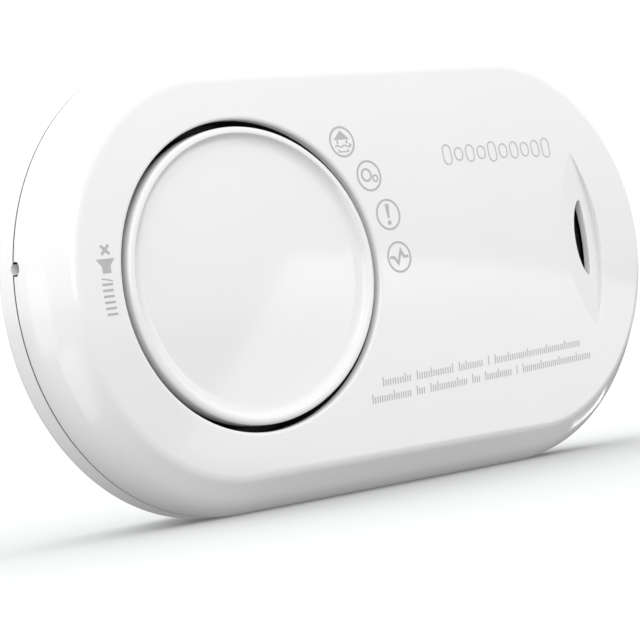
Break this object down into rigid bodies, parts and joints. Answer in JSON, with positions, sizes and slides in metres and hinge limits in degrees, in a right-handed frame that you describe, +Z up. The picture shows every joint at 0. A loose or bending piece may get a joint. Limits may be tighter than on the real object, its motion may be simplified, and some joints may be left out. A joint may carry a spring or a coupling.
{
  "type": "carbon monoxide detector",
  "caption": "Pill-shaped white carbon monoxide alarm with a large round test button, status symbols, a gas slot, a battery door and a wall plate.",
  "frame": {"origin": "middle of the long bottom edge, at the centre of the overall box in X and Y, on the surface the alarm stands on", "axes": "+X along the length towards the gas slot, the face looks along -Y, +Z up"},
  "size_m": [0.12, 0.033, 0.068],
  "materials": {
    "case_plastic": "high gloss white moulding",
    "button_plastic": "gloss white rim with a satin spark-textured disc",
    "black_plastic": "fine moulded texture",
    "board": "green solder mask over glass laminate",
    "spring_steel": "drawn wire",
    "nickel_steel": "nickel plated sheet",
    "screw_steel": "zinc plated",
    "brass": "rolled disc with a silvered centre",
    "aluminium": "drawn can",
    "lamp_lens": "clear tinted resin",
    "filter_gauze": "fine woven dust gauze",
    "foam": "closed cell foam",
    "chip_epoxy": "moulded epoxy",
    "ferrite": "sintered ferrite",
    "connector_plastic": "natural nylon",
    "cell_wrap": "printed shrink wrap"
  },
  "bodies": {
    "case": {"front_cover": "case_plastic", "rear_cover": "case_plastic", "button_spring_1": "spring_steel", "button_spring_2": "spring_steel", "button_spring_3": "spring_steel", "sounder_housing": "black_plastic", "piezo_disc": "brass", "circuit_board": "board", "switch_base": "black_plastic", "led_alarm": "lamp_lens", "led_gas": "lamp_lens", "led_fault": "lamp_lens", "led_power": "lamp_lens", "light_baffle": "black_plastic", "dust_filter": "filter_gauze", "sensor_gasket": "foam", "sensor_cap": "black_plastic", "sensor_can": "nickel_steel", "control_chip": "chip_epoxy", "capacitor_1": "aluminium", "capacitor_2": "aluminium", "sounder_coil": "ferrite", "battery_connector": "connector_plastic", "battery_tray": "black_plastic", "battery_1": "cell_wrap", "battery_2": "cell_wrap", "battery_spring_1": "spring_steel", "battery_spring_2": "spring_steel", "spring_plate_1": "nickel_steel", "spring_plate_2": "nickel_steel", "contact_tab_1": "nickel_steel", "contact_tab_2": "nickel_steel", "case_screw_1": "screw_steel", "case_screw_2": "screw_steel", "case_screw_3": "screw_steel", "case_screw_4": "screw_steel", "board_screw_1": "screw_steel", "board_screw_2": "screw_steel", "catch_spring": "spring_steel"},
    "button": {"test_button": "button_plastic"},
    "plunger": {"switch_plunger": "black_plastic"},
    "door": {"battery_door": "case_plastic"},
    "plate": {"wall_plate": "case_plastic"},
    "catch": {"release_catch": "black_plastic"}
  },
  "joints": [
    {"name": "button_press", "type": "slide", "parent": "case", "child": "button", "axis": [0, 1, 0], "range_m": [0, 0.0008], "stiffness_N_per_m": 600, "springref_m": -0.002},
    {"name": "plunger_press", "type": "slide", "parent": "case", "child": "plunger", "axis": [0, 1, 0], "range_m": [0, 0.0006]},
    {"name": "door_hinge", "type": "hinge", "parent": "case", "child": "door", "pos_m": [0, 0.0131, 0.05], "axis": [1, 0, 0], "range_deg": [0, 100]},
    {"name": "plate_slide", "type": "slide", "parent": "case", "child": "plate", "axis": [0, 0, 1], "range_m": [0, 0.005]},
    {"name": "catch_press", "type": "slide", "parent": "case", "child": "catch", "axis": [1, 0, 0], "range_m": [0, 0.0012], "stiffness_N_per_m": 200, "springref_m": -0.002}
  ],
  "couplings": [
    {"joint": "plunger_press", "follows": "button_press", "ratio": 0.7}
  ]
}
